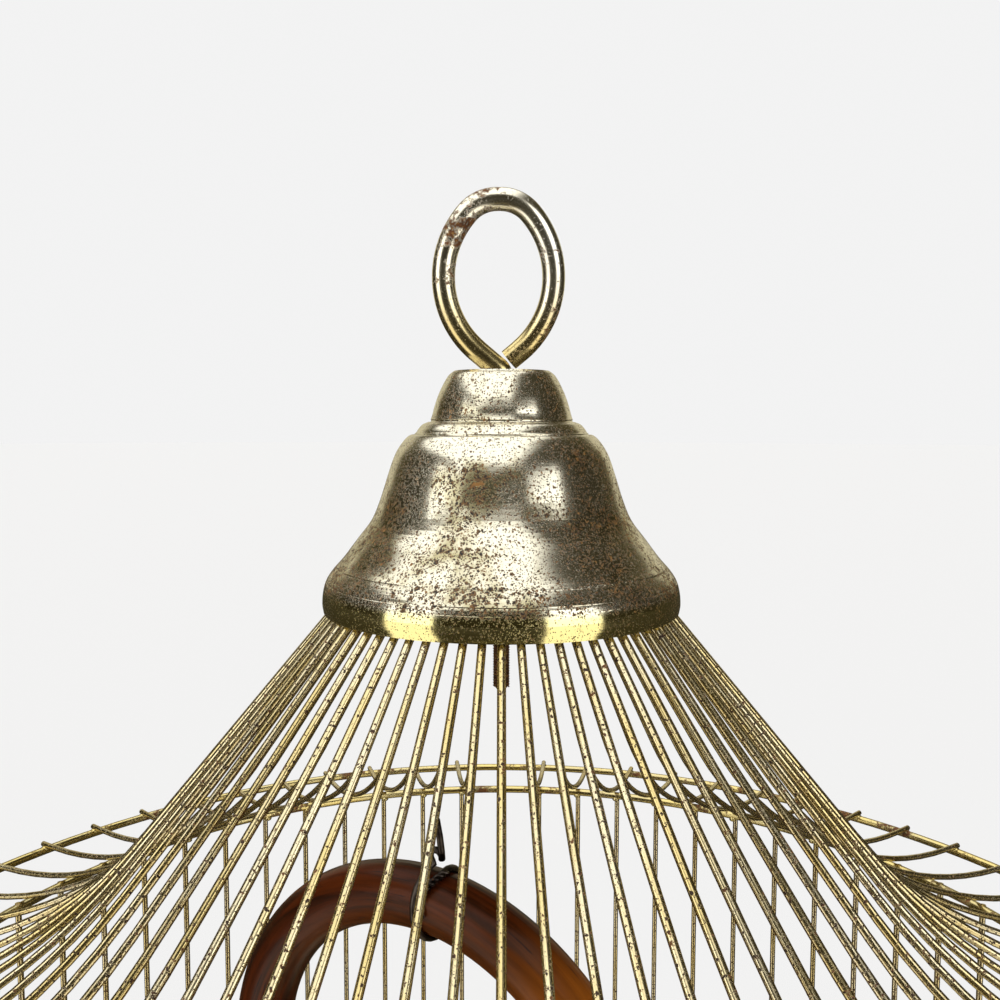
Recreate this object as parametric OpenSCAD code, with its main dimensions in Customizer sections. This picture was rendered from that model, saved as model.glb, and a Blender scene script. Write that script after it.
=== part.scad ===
/* [Cage wires] */
// Number of wires round the cage
wire_count = 64; // [48:8:96]
// Diameter of the roof and body wires
wire_d = 2.0; // [1.2:0.1:2.2]
// Diameter of the rod in the hoops that the wires are welded to
hoop_rod_d = 3; // [2.4:0.1:4]
// Weld depth, how far a wire sinks into the hoop it is welded to
weld = 0.25; // [0.1:0.05:0.5]

/* [Cage body] */
// Radius from the cage axis to the body wires
body_r = 176; // [150:1:200]
// Height from the bottom hoop to the top hoop
body_h = 300; // [280:5:380]
// Height of the sill hoop above the bottom hoop
sill_h = 36; // [30:1:50]
// Height of the door opening between the sill and header hoops
door_h = 148; // [120:2:160]
// Wire spaces that the door spans
door_spaces = 8; // [6:2:10]
// Diameter of the two door posts
post_d = 2.4; // [2:0.1:2.6]

/* [Roof] */
// Radius of the eave hoop
eave_r = 212; // [205:1:235]
// Height from the top hoop to the bell rim
roof_h = 114.5; // [105:0.5:130]
// Drop from the top hoop to the eave hoop
eave_drop = 3.5; // [2:0.5:8]
// Bend radius of the flare near the eave
flare_r = 150; // [120:1:165]
// Angle of the steep part of the roof, from vertical
roof_angle = 39.8; // [36:0.1:42]
// Radius of the crown hoop inside the bell
crown_r = 33.7; // [32:0.1:36]
// Height of the crown hoop above the bell rim
crown_h = 7.5; // [6:0.5:10]

/* [Bell cap] */
// Radius of the bell at its lip
bell_r = 46; // [45:0.1:52]
// Height of the bell
bell_h = 60.8; // [56:1:66]
// Sheet thickness of the bell
bell_wall = 1.1; // [0.8:0.1:1.6]

/* [Hanging eye] */
// Diameter of the rod in the eye
eye_rod_d = 5.9; // [4.5:0.1:6.5]
// Widest half width of the eye, to the middle of the rod
eye_half_w = 13.6; // [13:0.1:17]
// Bend radius over the top of the eye
eye_top_r = 10; // [9:0.5:12]
// Height of the eye above its widest place
eye_rise = 19.5; // [18:0.5:22]
// Diameter of the threaded rod below the eye
thread_d = 4; // [3.4:0.1:4.5]
// How far the threaded rod reaches below the bell rim
thread_drop = 22; // [14:1:30]

/* [Bentwood arch] */
// Diameter of the bentwood rod
wood_d = 16; // [12:0.5:18]
// Radius of the arch to the middle of the rod
arch_r = 59; // [45:1:65]
// Depth of the top of the arch below the bell rim
arch_drop = 74; // [70:1:100]
// Diameter of the bar that the arch stands on
bar_d = 18; // [16:0.5:22]
// Turn of the arch about the upright axis
arch_turn = 32; // [0:1:60]
// Distance of the arch from the cage axis, to the left
arch_x = -19; // [-24:1:0]
// Distance of the arch from the cage axis, to the front
arch_y = -10; // [-20:1:10]
// Diameter of the plain perches
perch_d = 12; // [9:0.5:14]

/* [Feeders] */
// Height of each feeder opening
feeder_h = 62; // [50:1:70]
// Radius of the cup below its lip
cup_r = 25.4; // [20:0.2:26]
// Depth of the cup
cup_h = 38; // [25:1:40]
// Wall of the cup
cup_wall = 2.2; // [1.6:0.1:3]

/* [Base and tray] */
// Height of the base drum
drum_h = 48; // [44:1:60]
// Height of the tray wall
tray_h = 26; // [18:1:27]
// Thickness of the sheet metal
sheet = 1.2; // [0.8:0.1:1.6]

/* [Stand] */
// Height of the top of the stand, where the cage sits
stand_h = 720; // [600:10:820]
// Diameter of the rod in the legs
leg_d = 12; // [10:0.5:16]
// Radius of the stand's top hoop
stand_r = 150; // [130:1:165]
// Lean of the upper leg towards the axis
leg_in = 10; // [5:1:14]
// Splay of the lower leg away from the axis
leg_out = 24; // [18:1:28]
// Length of the straight upper leg
leg_upper = 200; // [150:5:230]
// Bend radius between the upper and lower leg
leg_bend_r = 350; // [250:10:380]

/* [Hidden] */
$fn = 48;

// Running clearance round a hinge post or a sliding loop
run_gap = 0.05;
// Gap between pieces that only pass each other
pass_gap = 0.5;
// Ends of straight rods are a hair thinner than the bends they seat in
hair = 0.03;
lap = 0.3;

// Heights above the floor
bottom_z = stand_h + drum_h + 2;
sill_z = bottom_z + sill_h;
header_z = sill_z + door_h;
top_z = bottom_z + body_h;
rim_z = top_z + roof_h;
eave_z = top_z - eave_drop;

// The hoops lie inside the upright wires and touch them
hoop_r = body_r - (wire_d + hoop_rod_d)/2 + weld;
pitch = 360/wire_count;
door_half = door_spaces*pitch/2;
feeder_half = 2*pitch;
touch = (wire_d + hoop_rod_d)/2 - weld;

// ---- shared shapes ----

// Rod bent like a wire form. Each step is [straight length, bend radius, bend angle, roll],
// and the last step is [straight length].
module bent_rod(d, steps, i = 0) {
    step = steps[i];
    last = i == len(steps) - 1;
    before = i == 0 ? 0 : lap;
    after = last ? 0 : lap;
    translate([0, 0, -before]) cylinder(d = d - 2*hair, h = step[0] + before + after);
    if (!last) {
        translate([0, 0, step[0]]) rotate([0, 0, step[3]]) {
            translate([step[1], 0, 0]) rotate([90, 0, 0]) rotate([0, 0, 180 - step[2]])
                rotate_extrude(angle = step[2]) translate([step[1], 0]) circle(d = d);
            translate([step[1]*(1 - cos(step[2])), 0, step[1]*sin(step[2])])
                rotate([0, step[2], 0]) bent_rod(d, steps, i + 1);
        }
    }
}

// Ring of round rod
module hoop(r, d) {
    rotate_extrude() translate([r, 0]) circle(d = d);
}

// Part of a ring, centred on a direction
module hoop_arc(r, d, middle, half) {
    rotate([0, 0, middle - half]) rotate_extrude(angle = 2*half) translate([r, 0]) circle(d = d);
}

// Places children at an angle measured from the front, at a radius
module at_angle(a, r) {
    rotate([0, 0, a - 90]) translate([r, 0, 0]) children();
}

// Smooth curve through hand-set points
function curve_point(p, i, t) =
    let (a = p[max(i - 1, 0)], b = p[i], c = p[i + 1], d = p[min(i + 2, len(p) - 1)])
    0.5*(2*b + (c - a)*t + (2*a - 5*b + 4*c - d)*t*t + (3*b - a - 3*c + d)*t*t*t);
function smooth(p, n) = [
    for (i = [0 : len(p) - 2], k = [0 : n - 1]) curve_point(p, i, k/n),
    p[len(p) - 1]
];
// Moves a curve sideways by the sheet thickness
function side_step(p, t) = [
    for (i = [0 : len(p) - 1])
        let (a = p[max(i - 1, 0)], b = p[min(i + 1, len(p) - 1)], v = (b - a)/norm(b - a))
        p[i] + t*[-v[1], v[0]]
];

// ---- roof ----

wire_tail = 3;
wire_top = [
    crown_r + touch*cos(roof_angle) - wire_tail*sin(roof_angle),
    rim_z + crown_h + touch*sin(roof_angle) + wire_tail*cos(roof_angle)
];
// The roof wire lies on the top hoop and on the eave hoop. Its bend still curves over the top
// hoop, so the flat line that it ends in passes the hoop lower by this sag.
function flare(sag) =
    let (
        start = [hoop_r, top_z + touch - sag],
        end = [eave_r, eave_z + touch],
        fall = (start[1] - end[1])/(eave_r - hoop_r),
        steep = 1/tan(roof_angle),
        corner_r = (wire_top[1] + steep*wire_top[0] - start[1] - fall*start[0])/(steep - fall),
        corner = [corner_r, wire_top[1] - steep*(corner_r - wire_top[0])],
        turn = 90 - atan(fall) - roof_angle,
        // a bend as tight as the flat line into the eave needs
        bend_r = min(flare_r, (norm(end - corner) - hoop_rod_d)/tan(turn/2)),
        tangent = bend_r*tan(turn/2)
    ) [turn, norm(corner - wire_top) - tangent, norm(end - corner) - tangent + hoop_rod_d/2,
        corner_r + tangent*cos(atan(fall)), bend_r];
function flare_sag(shape) = pow(max(shape[3] - hoop_r, 0), 2)/(2*shape[4]);
wire_shape = flare(flare_sag(flare(flare_sag(flare(0)))));

module roof_wires() {
    color("darkgoldenrod")
    for (k = [0 : wire_count - 1])
        at_angle(k*pitch, 0) translate([wire_top[0], 0, wire_top[1]])
            rotate([0, 180 - roof_angle, 0])
                bent_rod(wire_d, [[wire_shape[1], wire_shape[4], wire_shape[0], 180], [wire_shape[2]]]);
}

module eave_hoop() {
    color("darkgoldenrod") translate([0, 0, eave_z]) hoop(eave_r, hoop_rod_d);
}

module crown_hoop() {
    color("darkgoldenrod") translate([0, 0, rim_z + crown_h]) hoop(crown_r, hoop_rod_d);
}

strap_w = 12;
strap_t = 2.5;
strap_z = rim_z + crown_h - strap_t/2;

module crown_strap() {
    color("darkgoldenrod")
    difference() {
        translate([-crown_r, -strap_w/2, strap_z]) cube([2*crown_r, strap_w, strap_t]);
        translate([0, 0, strap_z - 1]) cylinder(d = thread_d + 0.6, h = strap_t + 2);
    }
}

washer_t = 1;
nut_across = 7;
nut_t = 3.2;

module crown_washer() {
    color("silver")
    translate([0, 0, strap_z - washer_t])
    difference() {
        cylinder(d = 11, h = washer_t);
        translate([0, 0, -1]) cylinder(d = thread_d + 0.4, h = washer_t + 2);
    }
}

module crown_nuts() {
    color("silver")
    for (z = [strap_z - washer_t - nut_t, strap_z + strap_t])
        translate([0, 0, z])
        difference() {
            cylinder(d = nut_across/cos(30), h = nut_t, $fn = 6);
            translate([0, 0, -1]) cylinder(d = thread_d - 0.2, h = nut_t + 2);
        }
}

// ---- bell cap ----

neck_r = 13.6;
bead_r = 22.1;
// Outline of the bell from the lip to the flat top: radius and height above the rim
bell_outline = smooth([
    [bell_r - 0.3, 0], [bell_r, 2.2], [bell_r - 0.3, 5.2], [bell_r - 1.1, 7.8], [bell_r - 2.9, 10.4],
    [bell_r - 5.4, 13.2], [bell_r - 9, 18], [bell_r - 12.6, 22.8], [bell_r - 14.8, 28],
    [bell_r - 16.4, 33], [bell_r - 17.9, 37.6], [bell_r - 19.1, 40.4], [bell_r - 20.7, 42.8],
    [bead_r + 1.7, 44.3], [bead_r, 45], [bead_r - 0.7, 46], [bead_r - 1.8, 47.2], [bead_r - 3.5, 48],
    [17.9, 49.4], [17.3, 51.6], [16.3, 54.6], [14.9, bell_h - 3.2], [neck_r, bell_h - 1.1], [12.2, bell_h]
], 4);
bell_lining = side_step(bell_outline, bell_wall);
groove_d = 0.9;
// Turned grooves: height above the rim, and radius
bell_grooves = [
    [6.2, bell_r - 0.1], [7.8, bell_r - 0.7], [11.4, bell_r - 3.3],
    [44.8, bead_r + 0.6], [48.2, bead_r - 3.5]
];
eye_hole_d = 10;

module bell_cap() {
    color("lightgoldenrodyellow")
    translate([0, 0, rim_z])
    difference() {
        rotate_extrude()
            polygon([
                for (p = bell_outline) p,
                [0, bell_h], [0, bell_h - bell_wall],
                for (i = [len(bell_lining) - 2 : -1 : 0])
                    [max(bell_lining[i][0], 0.5), min(bell_lining[i][1], bell_h - bell_wall)]
            ]);
        translate([0, 0, bell_h - 5]) cylinder(d = eye_hole_d, h = 10);
        for (g = bell_grooves)
            translate([0, 0, g[0]]) rotate_extrude() translate([g[1], 0]) circle(d = groove_d);
    }
}

// ---- hanging eye ----

// Centre of the side bends, from tangency with the top bend
eye_up = eye_rise - eye_top_r;
eye_side_r = (eye_half_w*eye_half_w + eye_up*eye_up - eye_top_r*eye_top_r)/(2*(eye_half_w - eye_top_r));
eye_top_half = atan2(eye_side_r - eye_half_w, eye_up);
// Angle of the two limbs from vertical where they cross
eye_limb_angle = 50;
eye_limb = (eye_half_w - eye_side_r + eye_side_r*cos(eye_limb_angle))/sin(eye_limb_angle);
eye_side_turn = 90 - eye_top_half + eye_limb_angle;
eye_neck_r = 3.6;
// The thick shank reaches down into the bell, and its bend starts just under the bell's top
eye_shank = 8;
eye_sink = 1.8;
// Chamfered end of the threaded rod
tip_h = 1;
tip_d = thread_d - 1.6;
// Short flat at the top, and the length cut off the free limb above the bell
eye_flat = 1;
eye_cut = 2.8;
// The free limb leans back so that it passes behind the other one
eye_lean = asin((eye_rod_d + 0.3)/(2*eye_rise + 3));

module hanging_eye() {
    color("darkgoldenrod")
    translate([0, 0, rim_z]) union() {
        translate([0, 0, bell_h - eye_shank])
            bent_rod(eye_rod_d, [
                [eye_shank - eye_sink, eye_neck_r, eye_limb_angle, 180],
                [eye_limb, eye_side_r, eye_side_turn, 180],
                [0, eye_top_r, eye_top_half, 0],
                [eye_flat, eye_top_r, eye_top_half, eye_lean],
                [0, eye_side_r, eye_side_turn, 0],
                [eye_limb - eye_cut]
            ]);
        translate([0, 0, tip_h - thread_drop])
            cylinder(d = thread_d, h = thread_drop - tip_h + bell_h - eye_shank + lap/2);
        translate([0, 0, -thread_drop]) cylinder(d1 = tip_d, d2 = thread_d, h = tip_h);
    }
}

// ---- cage body ----

function at_door(a) = abs(a) < door_half - pitch/4;
function on_post(a) = abs(abs(a) - door_half) < pitch/4;
function near_side(a) = abs(abs(a) - 90) < feeder_half - pitch/4;
wire_foot = stand_h + drum_h - 10;
wire_head = top_z + 0.3;

// Upright wire between two heights
module upright(a, z0, z1, r = body_r, d = wire_d) {
    at_angle(a, r) translate([0, 0, z0]) cylinder(d = d, h = z1 - z0);
}

module body_wires() {
    color("goldenrod")
    for (k = [-wire_count/2 : wire_count/2 - 1]) {
        a = k*pitch;
        if (at_door(a) || on_post(a)) {
            upright(a, wire_foot, sill_z - 0.1);
            upright(a, header_z + 0.1, wire_head);
        } else if (near_side(a)) {
            upright(a, wire_foot, sill_z + hoop_rod_d/2);
            upright(a, sill_z + feeder_h - hoop_rod_d/2, wire_head);
        } else {
            upright(a, wire_foot, wire_head);
        }
    }
}

module body_hoop(z) {
    color("darkgoldenrod") translate([0, 0, z]) hoop(hoop_r, hoop_rod_d);
}

module top_hoop() { body_hoop(top_z); }
module header_hoop() { body_hoop(header_z); }
module sill_hoop() { body_hoop(sill_z); }
module bottom_hoop() { body_hoop(bottom_z); }

module door_posts() {
    color("darkgoldenrod")
    for (s = [-1, 1])
        upright(s*door_half, sill_z, header_z, body_r, post_d);
}

// ---- door ----

rail_d = 2.4;
stile_d = 3.2;
door_gap = 5;
door_low_z = sill_z + 6;
door_high_z = header_z - 6;
stile_half = door_half - door_gap/body_r*180/PI;

module door_frame() {
    color("darkgoldenrod")
    union() {
        for (z = [door_low_z, door_high_z])
            translate([0, 0, z]) hoop_arc(body_r, rail_d, -90, stile_half);
        for (s = [-1, 1])
            upright(s*stile_half, door_low_z - 2, door_high_z + 2, body_r, stile_d);
    }
}

module door_wires() {
    color("goldenrod")
    for (k = [1 : door_spaces - 1])
        upright((k - door_spaces/2)*pitch, door_low_z, door_high_z);
}

hinge_tube_h = 9;
hinge_z = [sill_z + 22, header_z - 22 - hinge_tube_h];

module door_hinge_eyes() {
    color("darkgoldenrod")
    for (z = hinge_z)
        translate([0, 0, z])
        difference() {
            union() {
                at_angle(-door_half, body_r) cylinder(d = post_d + 2.4, h = hinge_tube_h);
                at_angle(-door_half, body_r)
                    rotate([0, 0, 90 - pitch/4]) translate([post_d/2 + 0.6, -0.7, 0])
                        cube([door_gap - stile_d/2 - post_d/2, 1.4, hinge_tube_h]);
            }
            at_angle(-door_half, body_r) translate([0, 0, -1])
                cylinder(d = post_d + 2*run_gap, h = hinge_tube_h + 2);
        }
}

clasp_z = (door_low_z + door_high_z)/2;
clasp_rod = 1.6;

module door_clasp() {
    color("darkgoldenrod")
    at_angle(stile_half, body_r + stile_d/2 + clasp_rod/2 - 0.1)
        translate([0, -6, clasp_z - 6]) rotate([-90, 0, 0])
            bent_rod(clasp_rod, [[16, 4, 180, 90], [12]]);
}

// ---- feeders ----

side_angles = [-90, 90];
sash_r = body_r + 3;
sash_low = sill_z + 5;
sash_high = sill_z + feeder_h + 3;

module feeder_lintels() {
    color("darkgoldenrod")
    for (a = side_angles)
        translate([0, 0, sill_z + feeder_h])
            hoop_arc(hoop_r, hoop_rod_d, a - 90, feeder_half + pitch/6);
}

// Each sliding loop is open on its inner side, to pass the hoops
module feeder_door(a) {
    loop_h = 5;
    loop_open = 0.35;
    color("goldenrod")
    difference() {
        union() {
            for (z = [sash_low, sash_high])
                translate([0, 0, z]) hoop_arc(sash_r, rail_d, a - 90, feeder_half);
            for (k = [-1.5 : 1 : 1.5])
                upright(a + k*pitch, sash_low, sash_high, sash_r);
            for (z = [sash_low, sash_high], s = [-1, 1])
                at_angle(a + s*feeder_half, body_r) translate([0, 0, z - loop_h/2]) {
                    cylinder(d = wire_d + 2.4, h = loop_h);
                    translate([0.6, -0.8, 0]) cube([3, 1.6, loop_h]);
                }
            at_angle(a, sash_r) translate([0, 0, (sash_low + sash_high)/2]) rotate([0, 90, 0]) {
                cylinder(d = 3, h = 8);
                translate([0, 0, 7]) cylinder(d = 8, h = 3);
            }
            translate([0, 0, (sash_low + sash_high)/2])
                hoop_arc(sash_r, rail_d, a - 90, 1.5*pitch);
        }
        for (z = [sash_low, sash_high], s = [-1, 1])
            at_angle(a + s*feeder_half, body_r) translate([0, 0, z - loop_h/2 - 1])
                cylinder(d = wire_d + 2*run_gap, h = loop_h + 2);
        translate([0, 0, sash_low - loop_h]) rotate_extrude()
            translate([body_r - 8, 0]) square([8 - loop_open, feeder_h + 2*loop_h]);
    }
}

module feeder_door_left() { feeder_door(side_angles[0]); }
module feeder_door_right() { feeder_door(side_angles[1]); }

bracket_rod = 2.4;
bracket_r = cup_r + bracket_rod/2 + pass_gap;
cup_centre = hoop_r - hoop_rod_d/2 - bracket_r - bracket_rod/2 - 2;
bracket_z = sill_z + 6;
lip_z = bracket_z + bracket_rod/2 + run_gap;

module cup_brackets() {
    color("darkgoldenrod")
    for (a = side_angles)
        at_angle(a, cup_centre) {
            translate([0, 0, bracket_z]) hoop(bracket_r, bracket_rod);
            for (s = [-1, 1])
                rotate([0, 0, s*22]) translate([bracket_r, 0, bracket_z])
                    rotate([0, 180 - 52, 0]) rotate([0, 0, 0])
                        cylinder(d = bracket_rod, h = 9.4);
        }
}

module feeder_cup(a) {
    foot_r = cup_r*0.8;
    at_angle(a, cup_centre) translate([0, 0, lip_z])
        rotate_extrude()
            polygon([
                [0, -cup_h + 4], [foot_r, -cup_h + 4], [cup_r, -6], [cup_r, 0], [cup_r + 3.4, 0],
                [cup_r + 3.4, 2.4], [cup_r - cup_wall, 2.4], [cup_r - cup_wall, -6],
                [foot_r - cup_wall, -cup_h + 4 + cup_wall], [0, -cup_h + 4 + cup_wall]
            ]);
}

module seed_cup() { color("whitesmoke") feeder_cup(side_angles[0]); }
module water_cup() { color("whitesmoke") feeder_cup(side_angles[1]); }

// ---- perches and bentwood arch ----

arch_top = [arch_x, arch_y, rim_z - arch_drop];
bar_notch = 4;
perch_notch = 3;
bar_z = header_z + hoop_rod_d/2 + bar_d/2 - bar_notch;
arch_leg = arch_top[2] - arch_r - bar_z;
tenon_d = 8;
// Ends of a straight perch that lies on a hoop, along its own direction
function reach(offset) = sqrt(pow(body_r - wire_d/2 - pass_gap, 2) - offset*offset);

// Round perch with a notch under each end, which sits over the hoop
module perch(offset, z, hoop_z, d) {
    difference() {
        translate([-reach(offset), offset, z]) rotate([0, 90, 0]) cylinder(d = d, h = 2*reach(offset));
        translate([0, 0, hoop_z]) hoop(hoop_r, hoop_rod_d + 2*run_gap);
        translate([0, 0, hoop_z - d]) rotate_extrude()
            translate([hoop_r - hoop_rod_d/2 - run_gap, 0]) square([hoop_rod_d + 2*run_gap, d]);
    }
}

arch_offset = arch_y*cos(arch_turn) + arch_x*sin(arch_turn);
arch_along = arch_x*cos(arch_turn) - arch_y*sin(arch_turn);

module bentwood_arch() {
    color("saddlebrown")
    rotate([0, 0, -arch_turn]) translate([arch_along, arch_offset, arch_top[2] - arch_r]) union() {
        difference() {
            union() {
                rotate([90, 0, 0]) rotate_extrude(angle = 180) translate([arch_r, 0]) circle(d = wood_d);
                for (s = [-1, 1])
                    translate([s*arch_r, 0, -arch_leg]) cylinder(d = wood_d - 2*hair, h = arch_leg + lap);
            }
            translate([-2*arch_r, 0, -arch_leg]) rotate([0, 90, 0]) cylinder(d = bar_d, h = 4*arch_r);
        }
        for (s = [-1, 1])
            translate([s*arch_r, 0, -arch_leg - bar_d/6]) cylinder(d = tenon_d, h = bar_d);
    }
}

module arch_bar() {
    color("saddlebrown")
    rotate([0, 0, -arch_turn])
    difference() {
        perch(arch_offset, bar_z, header_z, bar_d);
        for (s = [-1, 1])
            translate([arch_along + s*arch_r, arch_offset, bar_z - bar_d/6 - 0.5])
                cylinder(d = tenon_d + 0.04, h = bar_d);
    }
}

module arch_tie() {
    tie_d = 1.6;
    wrap_r = wood_d/2 + tie_d/2;
    color("dimgray")
    translate(arch_top) rotate([0, 0, -arch_turn]) union() {
        rotate([0, 82, 0]) hoop(wrap_r, tie_d);
        rotate([0, 98, 0]) hoop(wrap_r, tie_d);
        translate([0, -wrap_r, 3]) rotate([70, 0, 40]) hoop(1.6, tie_d);
        translate([0.8, -2, wrap_r + 1.8]) rotate([90, 0, 0]) hoop(2.2, tie_d);
        translate([3, -2, wrap_r + 1]) rotate([0, -8, 0]) cylinder(d = tie_d, h = 12);
    }
}

lower_perch_y = 42.2;

module lower_perch() {
    color("saddlebrown")
    perch(lower_perch_y, sill_z + hoop_rod_d/2 + perch_d/2 - perch_notch, sill_z, perch_d);
}

// ---- base ----

drum_r = body_r + wire_d/2 + sheet - weld;
band_h = 14;
mouth_h = drum_h - band_h - sheet;

module base_drum() {
    color("lightgoldenrodyellow")
    translate([0, 0, stand_h])
    union() {
        cylinder(r = drum_r, h = sheet);
        translate([0, 0, drum_h - band_h]) difference() {
            cylinder(r = drum_r, h = band_h);
            translate([0, 0, -1]) cylinder(r = drum_r - sheet, h = band_h + 2);
        }
        rotate_extrude(angle = 180) translate([drum_r - sheet, 0]) square([sheet, drum_h - 1]);
        translate([0, 0, drum_h]) hoop(drum_r - sheet/2 + 0.4, 2.4);
    }
}

tray_gap = 1;
tray_r = drum_r - sheet - tray_gap;

module tray() {
    color("lightgoldenrodyellow")
    translate([0, 0, stand_h + sheet + 0.3])
    union() {
        cylinder(r = tray_r, h = sheet);
        rotate_extrude() translate([tray_r - sheet, 0]) square([sheet, tray_h]);
        rotate([0, 0, 180.4]) rotate_extrude(angle = 179.2)
            translate([tray_r - 0.1, 0]) square([drum_r - tray_r + 0.1, mouth_h - 0.8]);
    }
}

module tray_pull() {
    color("darkgoldenrod")
    translate([0, -drum_r - 1.2, stand_h + mouth_h/2 + 3]) union() {
        rotate([0, 90, 0]) translate([0, 0, -13]) rotate([0, 0, -90])
            bent_rod(3, [[0, 8, 90, 0], [0.2]]);
        translate([-14, 0, 0]) rotate([-90, 0, 0]) cylinder(d = 6, h = 1.3);
    }
}

module floor_grille() {
    grille_rod = 3;
    grille_r = drum_r - sheet - grille_rod/2 + 0.1;
    grille_z = stand_h + drum_h - band_h + 2;
    bar_d = 1.8;
    spacing = 16;
    rows = floor((grille_r - 8)/spacing);
    color("goldenrod")
    translate([0, 0, grille_z]) union() {
        hoop(grille_r, grille_rod);
        for (k = [-rows : rows])
            let (half = sqrt(grille_r*grille_r - pow(k*spacing, 2)))
            translate([k*spacing, -half, 0]) rotate([-90, 0, 0]) cylinder(d = bar_d, h = 2*half);
    }
}

// ---- stand ----

stand_rod_d = 10;
foot_h = 14;
leg_top = [stand_r, stand_h - stand_rod_d/2];
knee = [leg_top[0] - leg_upper*sin(leg_in), leg_top[1] - leg_upper*cos(leg_in)];
hip = knee + leg_bend_r*[cos(leg_in) - cos(leg_out), -sin(leg_in) - sin(leg_out)];
leg_lower = (hip[1] - foot_h/2)/cos(leg_out);
foot_r = hip[0] + leg_lower*sin(leg_out);
leg_angles = [45, 135, 225, 315];

module stand_hoop() {
    color("darkgoldenrod") translate([0, 0, leg_top[1]]) hoop(stand_r, stand_rod_d);
}

module stand_legs() {
    color("darkgoldenrod")
    for (a = leg_angles)
        at_angle(a, leg_top[0]) translate([0, 0, leg_top[1]]) rotate([0, 180 + leg_in, 0])
            bent_rod(leg_d, [[leg_upper, leg_bend_r, leg_in + leg_out, 180], [leg_lower]]);
}

module stand_brace() {
    brace_r = knee[0] - leg_d/2/cos(leg_in) - 4 + 0.6;
    color("darkgoldenrod") translate([0, 0, knee[1]]) hoop(brace_r, 8);
}

// Four arms under the drum. The front one is low, so that the tray slides out over it.
module stand_cradles() {
    tab_w = 16;
    tab_t = 3;
    tab_h = 20;
    low_h = tab_t + sheet - 0.2;
    color("darkgoldenrod")
    for (a = [0, 90, 180, 270])
        at_angle(a, 0) union() {
            translate([stand_r - 2, -tab_w/2, stand_h - tab_t])
                cube([drum_r + 1.6 - stand_r + 2 + tab_t, tab_w, tab_t]);
            translate([drum_r + 1.6, -tab_w/2, stand_h - tab_t]) cube([tab_t, tab_w, a == 0 ? low_h : tab_h]);
        }
}

module stand_feet() {
    color("dimgray")
    for (a = leg_angles)
        at_angle(a, foot_r) union() {
            cylinder(d1 = leg_d + 12, d2 = leg_d + 9, h = foot_h);
            translate([0, 0, foot_h]) cylinder(d1 = leg_d + 9, d2 = leg_d + 4, h = 5);
        }
}

hanging_eye();
bell_cap();
crown_hoop();
crown_strap();
crown_washer();
crown_nuts();
roof_wires();
eave_hoop();
top_hoop();
header_hoop();
sill_hoop();
bottom_hoop();
body_wires();
door_posts();
door_frame();
door_wires();
door_hinge_eyes();
door_clasp();
feeder_lintels();
feeder_door_left();
feeder_door_right();
cup_brackets();
seed_cup();
water_cup();
bentwood_arch();
arch_bar();
arch_tie();
lower_perch();
floor_grille();
base_drum();
tray();
tray_pull();
stand_hoop();
stand_cradles();
stand_legs();
stand_brace();
stand_feet();
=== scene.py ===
"""A brass wire bird cage with a bell cap, on a floor stand of four bent rods.

Its finishes and fine detail, laid on the solids of the construction.
"""

import math

import bmesh
import bpy
from mathutils import Matrix, Vector


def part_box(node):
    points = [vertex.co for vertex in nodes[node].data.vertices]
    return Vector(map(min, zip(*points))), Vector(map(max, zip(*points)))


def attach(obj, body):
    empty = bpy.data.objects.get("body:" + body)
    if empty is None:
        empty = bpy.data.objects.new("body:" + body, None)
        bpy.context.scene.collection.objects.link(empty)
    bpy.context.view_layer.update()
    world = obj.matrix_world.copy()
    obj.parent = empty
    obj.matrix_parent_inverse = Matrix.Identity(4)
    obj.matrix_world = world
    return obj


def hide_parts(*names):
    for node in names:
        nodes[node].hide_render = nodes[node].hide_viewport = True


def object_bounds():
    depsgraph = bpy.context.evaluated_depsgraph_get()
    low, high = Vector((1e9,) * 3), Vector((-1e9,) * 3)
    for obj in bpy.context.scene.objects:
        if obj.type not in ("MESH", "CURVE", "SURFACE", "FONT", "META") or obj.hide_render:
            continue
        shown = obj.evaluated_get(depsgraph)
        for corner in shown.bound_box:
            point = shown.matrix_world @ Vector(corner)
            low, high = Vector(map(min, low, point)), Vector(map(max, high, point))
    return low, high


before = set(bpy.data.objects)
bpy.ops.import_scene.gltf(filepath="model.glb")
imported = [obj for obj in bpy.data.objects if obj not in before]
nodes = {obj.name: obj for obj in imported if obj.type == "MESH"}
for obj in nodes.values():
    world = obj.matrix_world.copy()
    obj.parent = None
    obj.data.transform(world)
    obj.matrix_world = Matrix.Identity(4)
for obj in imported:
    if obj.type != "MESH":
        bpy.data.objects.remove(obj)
cad_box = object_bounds()


# ---- Studio ----------------------------------------------------------------
# A pale seamless floor and backdrop. The room round it is dim, with a bright window to
# the left and one to the right of the camera, pale screens behind and a soft box overhead.

def group(name, inputs, outputs):
    """An empty shared node group with the named sockets, and its two end nodes."""
    tree = bpy.data.node_groups.new(name, "ShaderNodeTree")
    for side, sockets in (("INPUT", inputs), ("OUTPUT", outputs)):
        for label, kind, value in sockets:
            socket = tree.interface.new_socket(label, in_out=side, socket_type="NodeSocket" + kind)
            if value is not None:
                socket.default_value = value
    return tree, tree.nodes.new("NodeGroupInput"), tree.nodes.new("NodeGroupOutput")


def math_node(tree, operation, *values, clamp=False):
    """A Math node on sockets and plain numbers, and its output."""
    node = tree.nodes.new("ShaderNodeMath")
    node.operation = operation
    node.use_clamp = clamp
    for i, value in enumerate(values):
        if isinstance(value, bpy.types.NodeSocket):
            tree.links.new(value, node.inputs[i])
        else:
            node.inputs[i].default_value = value
    return node.outputs[0]


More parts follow.
